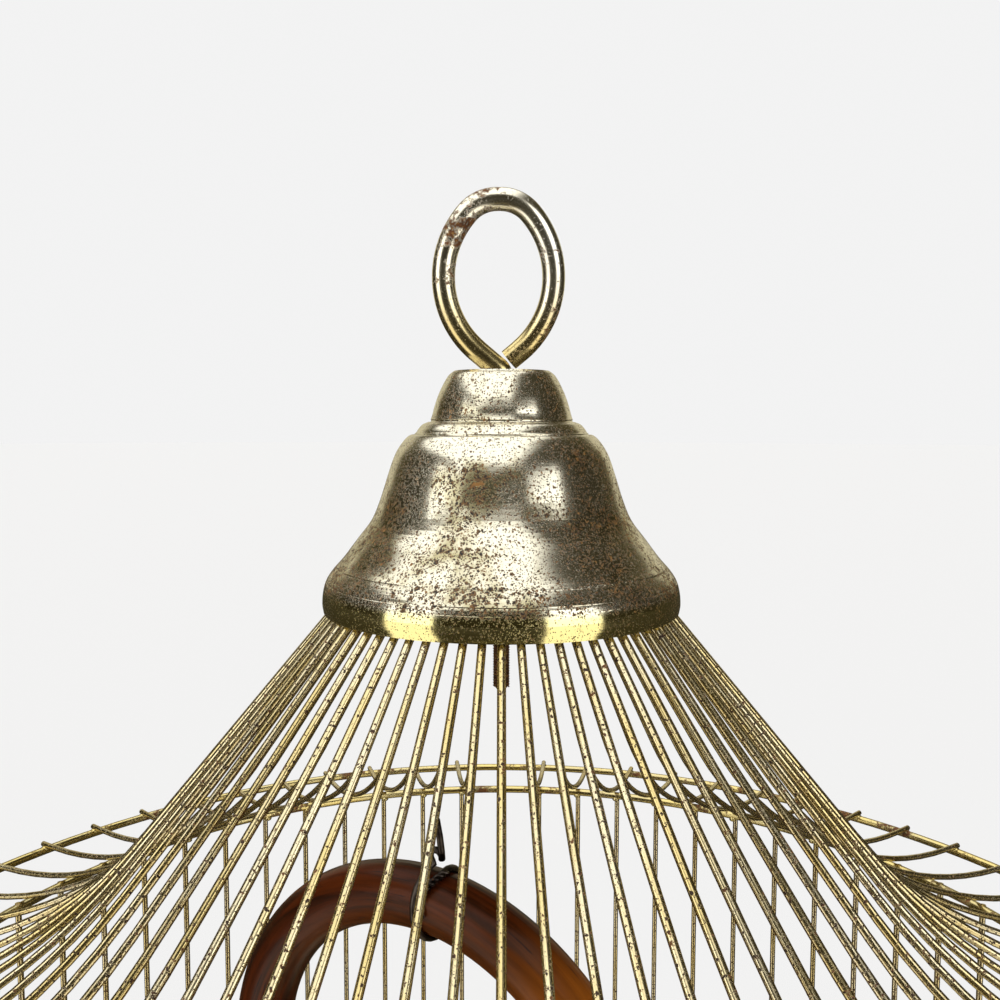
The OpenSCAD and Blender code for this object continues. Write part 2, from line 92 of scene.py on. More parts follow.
def ramp(tree, value, low, high, out_low=0.0, out_high=1.0):
    """value mapped smoothly from low..high to out_low..out_high."""
    node = tree.nodes.new("ShaderNodeMapRange")
    node.interpolation_type = "SMOOTHSTEP"
    if isinstance(value, bpy.types.NodeSocket):
        tree.links.new(value, node.inputs[0])
    for i, number in enumerate((low, high, out_low, out_high)):
        node.inputs[i + 1].default_value = number
    return node.outputs[0]


def mix(tree, factor, a, b, blend="MIX"):
    """Colour a turned to colour b by factor. Each is a socket or a colour."""
    node = tree.nodes.new("ShaderNodeMix")
    node.data_type = "RGBA"
    node.blend_type = blend
    for socket, value in ((node.inputs[0], factor), (node.inputs[6], a), (node.inputs[7], b)):
        if isinstance(value, bpy.types.NodeSocket):
            tree.links.new(value, socket)
        elif isinstance(value, (int, float)):
            socket.default_value = value
        else:
            socket.default_value = (*value, 1.0)
    return node.outputs[2]


def band(tree, value, low, high, soft):
    """1 where value lies from low to high, with soft edges."""
    return math_node(tree, "MULTIPLY", ramp(tree, value, low - soft, low + soft),
                     ramp(tree, value, high - soft, high + soft, 1.0, 0.0))


LEFT_WINDOW = (-75, -42)      # bearings from straight behind the camera, in degrees
RIGHT_WINDOW = (27, 63)
WINDOW_RISE = (-22, 30)
SCREENS = (138, 190)          # pale screens behind the cage, at either side
SCREENS_RISE = (-16, 26)
PANEL_ACROSS = (-1.2, 0.42)   # the overhead box, in its own height over the cage
PANEL_BACK = (-1.3, 0.85)


def window_glow(tree, turn):
    """1 on the bearings of the two windows."""
    return math_node(tree, "MAXIMUM", band(tree, turn, *LEFT_WINDOW, 1.5), band(tree, turn, *RIGHT_WINDOW, 1.5))


room = bpy.data.worlds.new("studio")
bpy.context.scene.world = room
room.use_nodes = True
sky = room.node_tree
sky.nodes.clear()
look = sky.nodes.new("ShaderNodeTexCoord")
split = sky.nodes.new("ShaderNodeSeparateXYZ")
sky.links.new(look.outputs["Generated"], split.inputs[0])
front = math_node(sky, "MULTIPLY", split.outputs[1], -1.0)
turn = math_node(sky, "MULTIPLY", math_node(sky, "ARCTAN2", split.outputs[0], front), 180 / math.pi)
rise = math_node(sky, "MULTIPLY", math_node(sky, "ARCSINE", split.outputs[2]), 180 / math.pi)
away = math_node(sky, "ABSOLUTE", turn)
windows = math_node(sky, "MULTIPLY", window_glow(sky, turn), band(sky, rise, *WINDOW_RISE, 2))
# the overhead box is a flat panel that lies mostly to the left: where a ray meets its plane
above = math_node(sky, "MAXIMUM", split.outputs[2], 0.001)
across = math_node(sky, "DIVIDE", split.outputs[0], above)
back = math_node(sky, "DIVIDE", split.outputs[1], above)
panel = math_node(sky, "MULTIPLY", band(sky, across, *PANEL_ACROSS, 0.16), band(sky, back, *PANEL_BACK, 0.18))
overhead = math_node(sky, "MULTIPLY", panel, ramp(sky, rise, 5, 10))
backdrop = math_node(sky, "MULTIPLY", ramp(sky, away, 112, 128), ramp(sky, rise, 80, 60))
side_screens = math_node(sky, "MULTIPLY", band(sky, away, *SCREENS, 5), band(sky, rise, *SCREENS_RISE, 6))
dim = mix(sky, ramp(sky, rise, -50, 60), (0.010, 0.008, 0.004), (0.055, 0.047, 0.026))
light = mix(sky, backdrop, dim, (0.08, 0.066, 0.03))
light = mix(sky, side_screens, light, (0.7, 0.64, 0.45))
light = mix(sky, windows, light, (2.3, 2.28, 2.2))
light = mix(sky, overhead, light, (1.8, 1.78, 1.7))
path = sky.nodes.new("ShaderNodeLightPath")
shown = mix(sky, path.outputs["Is Camera Ray"], light, (0.893, 0.893, 0.893))
background = sky.nodes.new("ShaderNodeBackground")
sky.links.new(shown, background.inputs[0])
world_out = sky.nodes.new("ShaderNodeOutputWorld")
sky.links.new(background.outputs[0], world_out.inputs[0])

FLOOR_R = 60.0
bm = bmesh.new()
bmesh.ops.create_circle(bm, cap_ends=True, segments=96, radius=FLOOR_R)
floor_mesh = bpy.data.meshes.new("floor")
bm.to_mesh(floor_mesh)
bm.free()
floor = bpy.data.objects.new("floor", floor_mesh)
floor.location.z = cad_box[0].z - 0.0005
bpy.context.collection.objects.link(floor)
paper = bpy.data.materials.new("seamless_paper")
paper.use_nodes = True
tree = paper.node_tree
shader = tree.nodes["Principled BSDF"]
shader.inputs["Roughness"].default_value = 0.9
shader.inputs["Specular IOR Level"].default_value = 0.1
# Painted shade: to reflections and bounced light the floor is dark like the dim room round it, while the camera
# sees it pale.
seen = tree.nodes.new("ShaderNodeLightPath")
tree.links.new(mix(tree, seen.outputs["Is Camera Ray"], (0.04, 0.034, 0.02), (0.25, 0.25, 0.25)),
               shader.inputs["Base Color"])
# the light of the two windows lies on the floor in front of them
spot = tree.nodes.new("ShaderNodeSeparateXYZ")
tree.links.new(tree.nodes.new("ShaderNodeNewGeometry").outputs["Position"], spot.inputs[0])
floor_front = math_node(tree, "MULTIPLY", spot.outputs[1], -1.0)
floor_turn = math_node(tree, "MULTIPLY", math_node(tree, "ARCTAN2", spot.outputs[0], floor_front), 180 / math.pi)
window_light = mix(tree, window_glow(tree, floor_turn), (0, 0, 0), (1.6, 1.5, 1.3))
tree.links.new(mix(tree, seen.outputs["Is Camera Ray"], window_light, (0.637, 0.639, 0.650)),
               shader.inputs["Emission Color"])
shader.inputs["Emission Strength"].default_value = 1.0
floor.data.materials.append(paper)

# The camera is a little above the bell's rim and looks slightly down on it.
rim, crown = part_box("bell_cap")
DISTANCE = 0.258
LIFT = 0.048
PITCH = math.radians(4.5)
ROLL = math.radians(0.1)
lens = bpy.data.cameras.new("camera")
lens.sensor_width = 36
lens.lens = 36
lens.clip_start = 0.01
lens.clip_end = 200
camera = bpy.data.objects.new("camera", lens)
bpy.context.collection.objects.link(camera)
camera.matrix_world = (Matrix.Translation((-0.0004, -DISTANCE, rim.z + LIFT))
                       @ Matrix.Rotation(math.pi / 2 - PITCH, 4, "X") @ Matrix.Rotation(ROLL, 4, "Z"))
bpy.context.scene.camera = camera
bpy.context.scene.view_settings.view_transform = "Standard"


# ---- Hanging eye -----------------------------------------------------------
# One brass-plated steel rod, bent into the loop that the cage hangs or is carried by. Its
# end is threaded, goes down through the bell and is held by nuts. The top of the loop is
# painted pale grey, partly worn plating and partly a painted highlight of the light from
# above, and rust has come through the plating in patches.

def new_material(name, roughness=0.3, metallic=0.0, **sockets):
    """A Principled material, its tree and its shader, with these constants on the shader."""
    material = bpy.data.materials.new(name)
    material.use_nodes = True
    shader = material.node_tree.nodes["Principled BSDF"]
    shader.inputs["Roughness"].default_value = roughness
    shader.inputs["Metallic"].default_value = metallic
    for label, value in sockets.items():
        shader.inputs[label.replace("_", " ")].default_value = value
    return material, material.node_tree, shader


def noise(tree, place, scale, detail=3.0, roughness=0.55, distortion=0.0):
    """A Noise texture read at place, and its value."""
    node = tree.nodes.new("ShaderNodeTexNoise")
    tree.links.new(place, node.inputs["Vector"])
    for label, value in (("Scale", scale), ("Detail", detail), ("Roughness", roughness),
                         ("Distortion", distortion)):
        if isinstance(value, bpy.types.NodeSocket):
            tree.links.new(value, node.inputs[label])
        else:
            node.inputs[label].default_value = value
    return node.outputs["Fac"]


def own_place(tree):
    """Object coordinates, in metres in the cage's own frame."""
    return tree.nodes.new("ShaderNodeTexCoord").outputs["Object"]


def rust_group():
    """Rust that breaks through plating: fine pits everywhere and crusts where patches are worst."""
    tree, start, end = group(
        "rust", [("Place", "Vector", None), ("Pits", "Float", 0.3), ("Crust", "Float", 0.3),
                 ("Size", "Float", 1.0)],
        [("Mask", "Float", None), ("Colour", "Color", None), ("Height", "Float", None)])
    scaled = tree.nodes.new("ShaderNodeVectorMath")
    scaled.operation = "SCALE"
    tree.links.new(start.outputs["Place"], scaled.inputs[0])
    tree.links.new(math_node(tree, "DIVIDE", 1.0, start.outputs["Size"]), scaled.inputs[3])
    place = scaled.outputs[0]
    patch = noise(tree, place, 75, 4, 0.6)
    fine = noise(tree, place, 1500, 2, 0.5)
    grain = noise(tree, place, 620, 3, 0.6, 0.4)
    # more pits where the patch noise is high
    wear = ramp(tree, patch, 0.35, 0.75)
    pit_level = math_node(tree, "SUBTRACT", 0.72, math_node(tree, "MULTIPLY", start.outputs["Pits"],
                          math_node(tree, "ADD", 0.07, math_node(tree, "MULTIPLY", wear, 0.13))))
    pits = math_node(tree, "MULTIPLY", math_node(tree, "SUBTRACT", fine, pit_level), 14, clamp=True)
    crust_level = math_node(tree, "MULTIPLY", start.outputs["Crust"], 0.42)
    crust_level = math_node(tree, "SUBTRACT", 0.80, crust_level)
    crusts = math_node(tree, "SUBTRACT", math_node(tree, "ADD", math_node(tree, "MULTIPLY", patch, 0.62),
                       math_node(tree, "MULTIPLY", grain, 0.38)), crust_level)
    crusts = math_node(tree, "MULTIPLY", crusts, 16, clamp=True)
    mask = math_node(tree, "MAXIMUM", pits, crusts)
    tree.links.new(mask, end.inputs["Mask"])
    shade = ramp(tree, grain, 0.35, 0.66)
    colour = mix(tree, shade, (0.03, 0.014, 0.007), (0.17, 0.065, 0.02))
    colour = mix(tree, math_node(tree, "MULTIPLY", crusts, ramp(tree, fine, 0.52, 0.7)), colour,
                 (0.36, 0.19, 0.05))
    tree.links.new(colour, end.inputs["Colour"])
    tree.links.new(math_node(tree, "SUBTRACT", math_node(tree, "MULTIPLY", crusts, fine),
                             math_node(tree, "MULTIPLY", pits, 0.6)), end.inputs["Height"])
    return tree


rust_nodes = rust_group()


def specks(tree, place, scale, cover, sharp=14.0):
    """Irregular specks of many sizes, one to a cell of this many cells to the metre, as a mask."""
    cells = tree.nodes.new("ShaderNodeTexVoronoi")
    cells.inputs["Scale"].default_value = scale
    ragged = tree.nodes.new("ShaderNodeVectorMath")
    ragged.operation = "MULTIPLY_ADD"
    wobble = tree.nodes.new("ShaderNodeTexNoise")
    wobble.inputs["Scale"].default_value = scale * 2.2
    wobble.inputs["Detail"].default_value = 1.0
    tree.links.new(place, wobble.inputs["Vector"])
    tree.links.new(wobble.outputs["Color"], ragged.inputs[0])
    ragged.inputs[1].default_value = (0.9 / scale,) * 3
    tree.links.new(place, ragged.inputs[2])
    tree.links.new(ragged.outputs[0], cells.inputs["Vector"])
    reach = math_node(tree, "MULTIPLY", math_node(tree, "POWER", cells.outputs["Color"], 1.6), cover)
    inside = math_node(tree, "SUBTRACT", reach, cells.outputs["Distance"])
    return math_node(tree, "MULTIPLY", inside, sharp, clamp=True)


def use_group(tree, nodes_group, **values):
    """A node of the shared group in this tree, fed by these sockets and numbers."""
    node = tree.nodes.new("ShaderNodeGroup")
    node.node_tree = nodes_group
    for label, value in values.items():
        if isinstance(value, bpy.types.NodeSocket):
            tree.links.new(value, node.inputs[label])
        else:
            node.inputs[label].default_value = value
    return node


def bump(tree, shader, height, strength, depth):
    """Relief on the shader from a height of 0 to 1."""
    node = tree.nodes.new("ShaderNodeBump")
    node.inputs["Strength"].default_value = strength
    node.inputs["Distance"].default_value = depth
    tree.links.new(height, node.inputs["Height"])
    tree.links.new(node.outputs[0], shader.inputs["Normal"])


def plated(name, bright, worn, pits=0.3, crust=0.3, size=1.0, polish=0.16, wear_scale=40.0, wear=None):
    """Plated metal: two plating colours in soft patches, with rust coming through.

    wear(tree, place, patches, crust) can place the patches and the crusts itself.
    """
    material, tree, shader = new_material(name, polish, 1.0)
    place = own_place(tree)
    patches = ramp(tree, noise(tree, place, wear_scale, 4, 0.55), 0.38, 0.62)
    if wear:
        patches, crust = wear(tree, place, patches, crust)
    spots = use_group(tree, rust_nodes, Place=place, Pits=pits, Crust=crust, Size=size)
    plating = mix(tree, patches, bright, worn)
    tree.links.new(mix(tree, spots.outputs["Mask"], plating, spots.outputs["Colour"]),
                   shader.inputs["Base Color"])
    tree.links.new(math_node(tree, "SUBTRACT", 1.0, spots.outputs["Mask"]), shader.inputs["Metallic"])
    haze = math_node(tree, "MULTIPLY", noise(tree, place, wear_scale * 6, 3), 0.16)
    rough = math_node(tree, "ADD", haze, math_node(tree, "MULTIPLY", spots.outputs["Mask"], 0.6))
    tree.links.new(math_node(tree, "ADD", rough, polish - 0.06), shader.inputs["Roughness"])
    bump(tree, shader, spots.outputs["Height"], 0.5, 0.0002)
    return material


def paint(node, material):
    """Gives a CAD node's own material slots this material."""
    slots = nodes[node].material_slots
    if not slots:
        nodes[node].data.materials.append(material)
    for slot in slots:
        slot.material = material


def eye_wear_and_highlight(tree, place, patches, crust):
    """Pale grey up the loop, partly worn plating and partly a painted highlight from above; worst crusts on its
    upper left, and all rust down inside the bell.
    """
    xyz = tree.nodes.new("ShaderNodeSeparateXYZ")
    tree.links.new(place, xyz.inputs[0])
    above_rim = math_node(tree, "SUBTRACT", xyz.outputs[2], rim.z)
    # painted highlight: by height the top of the loop turns to the pale grey plating colour, partly real wear
    patches = math_node(tree, "MULTIPLY_ADD", patches, 0.4, 0.6)
    patches = math_node(tree, "MULTIPLY", ramp(tree, above_rim, 0.068, 0.088), patches)
    on_left = ramp(tree, xyz.outputs[0], 0.003, 0.011, 0.18, 0.0)
    worst = math_node(tree, "MULTIPLY", ramp(tree, above_rim, 0.074, 0.086), on_left)
    inside_bell = ramp(tree, above_rim, 0.018, 0.02, 1.2, 0.0)
    crust = math_node(tree, "ADD", math_node(tree, "ADD", worst, crust), inside_bell)
    return patches, crust


paint("hanging_eye", plated("eye_plating", (0.66, 0.54, 0.26), (0.84, 0.82, 0.76), pits=0.5, crust=0.56,
                            size=0.9, polish=0.2, wear_scale=26.0, wear=eye_wear_and_highlight))


def finished(name, bm, material, body):
    """A mesh piece from bm with outward faces and smooth shading, riding on a body."""
    bmesh.ops.recalc_face_normals(bm, faces=bm.faces)
    mesh = bpy.data.meshes.new(name)
    bm.to_mesh(mesh)
    bm.free()
    mesh.materials.append(material)
    mesh.shade_smooth()
    piece = bpy.data.objects.new(name, mesh)
    bpy.context.collection.objects.link(piece)
    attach(piece, body)
    return piece


# The rolled thread on the eye's shank, as the ridge that stands on its core.
THREAD_R = 0.002
THREAD_PITCH = 0.0007
THREAD_LENGTH = 0.0325
THREAD_HALF = 0.0003          # half the ridge's height along the shank
THREAD_ROOT = 0.00006         # how far the ridge is sunk in the core
THREAD_CREST = 0.00024        # how far it stands out
SIDES = 18
eye_lo, eye_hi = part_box("hanging_eye")
bm = bmesh.new()
foot = eye_lo.z + 2 * THREAD_HALF
flank = [bm.verts.new((THREAD_R - THREAD_ROOT, 0, foot - THREAD_HALF)),
         bm.verts.new((THREAD_R + THREAD_CREST, 0, foot)),
         bm.verts.new((THREAD_R - THREAD_ROOT, 0, foot + THREAD_HALF))]
edges = [bm.edges.new((flank[i], flank[(i + 1) % 3])) for i in range(3)]
bm.faces.new(flank)
turns = int(THREAD_LENGTH / THREAD_PITCH)
ridge = bmesh.ops.spin(bm, geom=edges, cent=(0, 0, 0), axis=(0, 0, 1), angle=2 * math.pi * turns,
                       dvec=(0, 0, THREAD_PITCH / SIDES), steps=SIDES * turns)
bm.faces.new([part for part in ridge["geom_last"] if isinstance(part, bmesh.types.BMVert)])
thread_rust = plated("thread_rust", (0.20, 0.09, 0.05), (0.10, 0.05, 0.03),
                     pits=0.9, crust=0.8, polish=0.45)
finished("eye_thread", bm, thread_rust, "cage")


# ---- Bell cap --------------------------------------------------------------
# A cap spun from thin steel sheet and plated in pale brass: a small cup, a bead, a bell
# and a turned lip. Damp has pitted it all over.

LIP_TOP = (0.0046, 0.0066)       # heights over the rim: where the polished lip ends
GROOVES = (0.0055, 0.0115)       # the band of the two lowest grooves, where damp sat
CUP_FOOT = (0.036, 0.046)        # where the cleaner cup begins


def bell_plating():
    """Satin plating densely flecked with rust, and a brighter polished lip under the lowest groove."""
    material, tree, shader = new_material("bell_plating", 0.3, 1.0)
    place = own_place(tree)
    xyz = tree.nodes.new("ShaderNodeSeparateXYZ")
    tree.links.new(place, xyz.inputs[0])
    height = math_node(tree, "SUBTRACT", xyz.outputs[2], rim.z)
    lip = ramp(tree, height, *LIP_TOP, 1.0, 0.0)
    near_groove = band(tree, height, *GROOVES, 0.0015)
    patch = noise(tree, place, 70, 4, 0.6)
    # specks of three sizes, closest together where the damp sat
    on_cup = ramp(tree, height, *CUP_FOOT, 0.0, 0.5)
    stain = math_node(tree, "SUBTRACT", ramp(tree, patch, 0.34, 0.7), on_cup)
    damp = math_node(tree, "ADD", stain, math_node(tree, "MULTIPLY", near_groove, 0.35))
    damp = math_node(tree, "SUBTRACT", damp, math_node(tree, "MULTIPLY", lip, 0.8))
    flecks = None
    for scale, cover, gain in ((2500, 0.72, 0.3), (1350, 0.52, 0.48), (720, 0.32, 0.52)):
        here = specks(tree, place, scale, math_node(tree, "MULTIPLY_ADD", damp, gain, cover))
        flecks = here if flecks is None else math_node(tree, "MAXIMUM", flecks, here)
    spots = use_group(tree, rust_nodes, Place=place, Pits=0.2, Crust=0.33, Size=0.6)
    mask = math_node(tree, "MAXIMUM", flecks, spots.outputs["Mask"])
    tint = noise(tree, place, 2300, 2, 0.5)
    rust = mix(tree, ramp(tree, tint, 0.40, 0.60), (0.014, 0.008, 0.004), (0.20, 0.10, 0.03))
    rust = mix(tree, ramp(tree, noise(tree, place, 420, 2), 0.58, 0.72), rust, (0.30, 0.14, 0.03))
    plating = mix(tree, ramp(tree, stain, 0.0, 0.95), (0.75, 0.71, 0.58), (0.36, 0.32, 0.18))
    plating = mix(tree, lip, plating, (0.74, 0.66, 0.31))
    tree.links.new(mix(tree, mask, plating, rust), shader.inputs["Base Color"])
    tree.links.new(math_node(tree, "SUBTRACT", 1.0, mask), shader.inputs["Metallic"])
    satin = math_node(tree, "ADD", math_node(tree, "MULTIPLY", lip, -0.09), 0.18)
    rough = math_node(tree, "ADD", satin, math_node(tree, "MULTIPLY", mask, 0.4))
    tree.links.new(rough, shader.inputs["Roughness"])
    grain = noise(tree, place, 2600, 3, 0.6)
    relief = math_node(tree, "SUBTRACT", math_node(tree, "MULTIPLY", grain, 0.14), mask)
    bump(tree, shader, relief, 0.35, 0.00012)
    return material


paint("bell_cap", bell_plating())


# ---- Crown inside the bell ---------------------------------------------------
# A strap and hoop take the upper ends of the wires, and two nuts hold the eye's thread.

zinc = plated("zinc", (0.55, 0.55, 0.53), (0.42, 0.41, 0.38), pits=0.4, crust=0.3, polish=0.3)
for name in ("crown_washer", "crown_nuts"):
    paint(name, zinc)
rod_plating = plated("rod_plating", (0.64, 0.53, 0.24), (0.56, 0.49, 0.28),
                     pits=0.45, crust=0.42, polish=0.2)
for name in ("crown_hoop", "crown_strap"):
    paint(name, rod_plating)


# ---- Roof and body wires -----------------------------------------------------
# Drawn wires, brass plated and welded to the hoops. The plating has cracked across each
# wire where it was bent and handled, and brown rust shows in the cracks.

def wire_group():
    """Where the cracks across a wire are: cells along the wire, told apart by the wire's own bearing."""
    tree, start, end = group("cracks", [("Apex", "Float", 0.0), ("Wires", "Float", 64.0)],
                             [("Mask", "Float", None), ("Streak", "Float", None)])
    xyz = tree.nodes.new("ShaderNodeSeparateXYZ")
    place = own_place(tree)
    tree.links.new(place, xyz.inputs[0])
    x, y, z = xyz.outputs
    turns = math_node(tree, "DIVIDE", math_node(tree, "ARCTAN2", x, y), 2 * math.pi)
    which = math_node(tree, "ROUND", math_node(tree, "MULTIPLY", turns, start.outputs["Wires"]))
    reach = math_node(tree, "SQRT", math_node(tree, "ADD", math_node(tree, "MULTIPLY", x, x),
                                              math_node(tree, "MULTIPLY", y, y)))
    drop = math_node(tree, "SUBTRACT", start.outputs["Apex"], z)
    along = math_node(tree, "SQRT", math_node(tree, "ADD", math_node(tree, "MULTIPLY", reach, reach),
                                              math_node(tree, "MULTIPLY", drop, drop)))
    spot = tree.nodes.new("ShaderNodeCombineXYZ")
    tree.links.new(along, spot.inputs[0])
    tree.links.new(math_node(tree, "MULTIPLY", which, 0.37), spot.inputs[1])
    tree.links.new(math_node(tree, "MULTIPLY", which, 0.11), spot.inputs[2])
    cracks = noise(tree, spot.outputs[0], 700, 2, 0.5)
    side = noise(tree, place, 1700, 2, 0.6)
    long_patch = noise(tree, spot.outputs[0], 34, 3, 0.6)
    level = cracks
    for other, share in ((side, 1.1), (long_patch, 0.2)):
        other = math_node(tree, "MULTIPLY", math_node(tree, "SUBTRACT", other, 0.5), share)
        level = math_node(tree, "ADD", level, other)
    tree.links.new(math_node(tree, "MULTIPLY", math_node(tree, "SUBTRACT", level, 0.645), 20, clamp=True),
                   end.inputs["Mask"])
    tree.links.new(long_patch, end.inputs["Streak"])
    return tree


WIRES = 64
crack_nodes = wire_group()


def wire_material(name, apex):
    """Brass-plated wire with rusty cracks across it."""
    material, tree, shader = new_material(name, 0.2, 1.0)
    place = own_place(tree)
    cracks = use_group(tree, crack_nodes, Apex=apex, Wires=float(WIRES))
    spots = use_group(tree, rust_nodes, Place=place, Pits=0.55, Crust=0.12, Size=0.8)
    mask = math_node(tree, "MAXIMUM", cracks.outputs["Mask"], specks(tree, place, 900, 0.52))
    mask = math_node(tree, "MAXIMUM", mask, math_node(tree, "MULTIPLY", spots.outputs["Mask"], 0.8))
    streak = ramp(tree, cracks.outputs["Streak"], 0.35, 0.65)
    plating = mix(tree, streak, (0.62, 0.50, 0.23), (0.70, 0.62, 0.42))
    tint = ramp(tree, noise(tree, place, 700, 2), 0.45, 0.65)
    rust = mix(tree, tint, (0.04, 0.018, 0.007), (0.17, 0.07, 0.02))
    tree.links.new(mix(tree, mask, plating, rust), shader.inputs["Base Color"])
    tree.links.new(math_node(tree, "SUBTRACT", 1.0, mask), shader.inputs["Metallic"])
    rough = math_node(tree, "ADD", 0.2, math_node(tree, "MULTIPLY", mask, 0.5))
    tree.links.new(rough, shader.inputs["Roughness"])
    dents = math_node(tree, "SUBTRACT", math_node(tree, "MULTIPLY", noise(tree, place, 420, 2), 0.5), mask)
    bump(tree, shader, dents, 0.4, 0.00012)
    return material


paint("roof_wires", wire_material("roof_wire_plating", crown.z))
straight_wire = wire_material("straight_wire_plating", 0.0)
for name in ("body_wires", "door_posts", "door_frame", "door_wires", "door_hinge_eyes",
             "door_clasp", "feeder_door_left", "feeder_door_right", "floor_grille"):
    paint(name, straight_wire)


# ---- Hoops ---------------------------------------------------------------------
# Brass-plated rods rolled into hoops, with rust in patches between the welds.

hoop_plating = plated("hoop_plating", (0.62, 0.50, 0.20), (0.55, 0.47, 0.24),
                      pits=0.5, crust=0.62, size=1.2, polish=0.2)
for name in ("eave_hoop", "top_hoop", "header_hoop", "sill_hoop", "bottom_hoop", "feeder_lintels",
             "cup_brackets"):
    paint(name, hoop_plating)


# Each wire end is welded to its hoop, and leaves a small flat bead on the hoop.

def weld_beads(name, hoop, across, up, size):
    """A ring of flat beads on a hoop, one at each wire."""
    lo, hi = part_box(hoop)
    radius = (hi.x - lo.x) / 2 + across
    height = (hi.z + lo.z) / 2 + up
    bm = bmesh.new()
    for i in range(WIRES):
        bearing = 2 * math.pi * i / WIRES
        shape = bmesh.ops.create_uvsphere(bm, u_segments=8, v_segments=5, radius=size)
        lean = Matrix.Translation((radius * math.sin(bearing), -radius * math.cos(bearing), height))
        lean = lean @ Matrix.Rotation(bearing, 4, "Z") @ Matrix.Diagonal((1.25, 1.0, 0.8, 1.0))
        bmesh.ops.transform(bm, verts=shape["verts"], matrix=lean)
    return finished(name, bm, hoop_plating, "cage")


weld_beads("eave_welds", "eave_hoop", -0.0015, 0.0007, 0.0016)
weld_beads("top_welds", "top_hoop", -0.0026, -0.0012, 0.0012)


# ---- Arch swing and perches --------------------------------------------------
# The arch is one dark stick steamed and bent, its grain running along the bend.

def wood_group():
    """Varnished grain: fine dark pores and wide bands drawn out along the first axis."""
    tree, start, end = group("grain", [("Place", "Vector", None), ("Amber", "Float", 0.0)],
                             [("Colour", "Color", None), ("Height", "Float", None)])
    bands = noise(tree, start.outputs["Place"], 320, 3, 0.6, 0.6)
    pores = noise(tree, start.outputs["Place"], 1300, 2, 0.6)
    cloud = noise(tree, start.outputs["Place"], 30, 2)
    colour = mix(tree, ramp(tree, bands, 0.3, 0.7), (0.018, 0.0035, 0.001), (0.10, 0.018, 0.003))
    paler = math_node(tree, "MULTIPLY", ramp(tree, cloud, 0.45, 0.7), 0.4)
    paler = math_node(tree, "ADD", paler, start.outputs["Amber"], clamp=True)
    colour = mix(tree, paler, colour, mix(tree, bands, (0.13, 0.032, 0.004), (0.42, 0.125, 0.013)))
    colour = mix(tree, ramp(tree, pores, 0.6, 0.8), colour, (0.018, 0.005, 0.003))
    tree.links.new(colour, end.inputs["Colour"])
    tree.links.new(pores, end.inputs["Height"])
    return tree


grain_nodes = wood_group()


def stretched(tree, place, stretch, turn=(0, 0, 0), shift=(0, 0, 0)):
    """place moved, turned and drawn out."""
    node = tree.nodes.new("ShaderNodeMapping")
    node.vector_type = "POINT"
    tree.links.new(place, node.inputs[0])
    node.inputs["Location"].default_value = shift
    node.inputs["Rotation"].default_value = turn
    node.inputs["Scale"].default_value = stretch
    return node.outputs[0]


def varnished(name, make_place, amber_from=None):
    """Dark varnished wood, its grain laid by make_place(tree), and paler below amber_from along it."""
    material, tree, shader = new_material(name, 0.3, Coat_Weight=0.06, Coat_Roughness=0.08,
                                          Specular_IOR_Level=0.12)
    place = make_place(tree)
    grain = use_group(tree, grain_nodes, Place=place)
    if amber_from:
        along = tree.nodes.new("ShaderNodeSeparateXYZ")
        tree.links.new(place, along.inputs[0])
        amber = ramp(tree, along.outputs[0], amber_from * 0.6, amber_from, 1.0, 0.0)
        tree.links.new(amber, grain.inputs["Amber"])
    tree.links.new(grain.outputs["Colour"], shader.inputs["Base Color"])
    bump(tree, shader, grain.outputs["Height"], 0.12, 0.0003)
    return material


arch_lo, arch_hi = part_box("bentwood_arch")
DRAWN_OUT = 0.08              # the grain is this much finer along a stick than across it
ARCH_TURN = math.radians(32)
ARCH_R = 0.059
WOOD_D = 0.016
arch_centre = Vector(((arch_lo.x + arch_hi.x) / 2, (arch_lo.y + arch_hi.y) / 2,
                      arch_hi.z - WOOD_D / 2 - ARCH_R))


def along_the_arch(tree):
    """How far along the bent stick, out from its bend and across it a point is."""
    turned = stretched(tree, own_place(tree), (1, 1, 1), (0, 0, ARCH_TURN),
                       -(Matrix.Rotation(ARCH_TURN, 3, "Z") @ arch_centre))
    xyz = tree.nodes.new("ShaderNodeSeparateXYZ")
    tree.links.new(turned, xyz.inputs[0])
    x, y, z = xyz.outputs
    up = math_node(tree, "MAXIMUM", z, 0.0)
    bend = math_node(tree, "MULTIPLY", math_node(tree, "ARCTAN2", up, x), ARCH_R)
    down = math_node(tree, "MULTIPLY", math_node(tree, "MINIMUM", z, 0.0), math_node(tree, "SIGN", x))
    out = math_node(tree, "SQRT", math_node(tree, "ADD", math_node(tree, "MULTIPLY", x, x),
                                            math_node(tree, "MULTIPLY", up, up)))
    spot = tree.nodes.new("ShaderNodeCombineXYZ")
    tree.links.new(math_node(tree, "MULTIPLY", math_node(tree, "ADD", bend, down), DRAWN_OUT), spot.inputs[0])
    tree.links.new(out, spot.inputs[1])
    tree.links.new(y, spot.inputs[2])
    return spot.outputs[0]


AMBER_FROM = 0.0056           # how far along the grain the paler end of the arch reaches
paint("bentwood_arch", varnished("bent_varnished_wood", along_the_arch, AMBER_FROM))
paint("arch_bar", varnished("bar_varnished_wood", lambda tree: stretched(
    tree, own_place(tree), (DRAWN_OUT, 1, 1), (0, 0, ARCH_TURN))))
paint("lower_perch", varnished("perch_varnished_wood", lambda tree: stretched(
    tree, own_place(tree), (DRAWN_OUT, 1, 1))))


# The tie that the arch once hung by: black iron wire wound once round the stick, closed in a
# small loop with a stub standing up, and two thinner wires twisted together over the front.

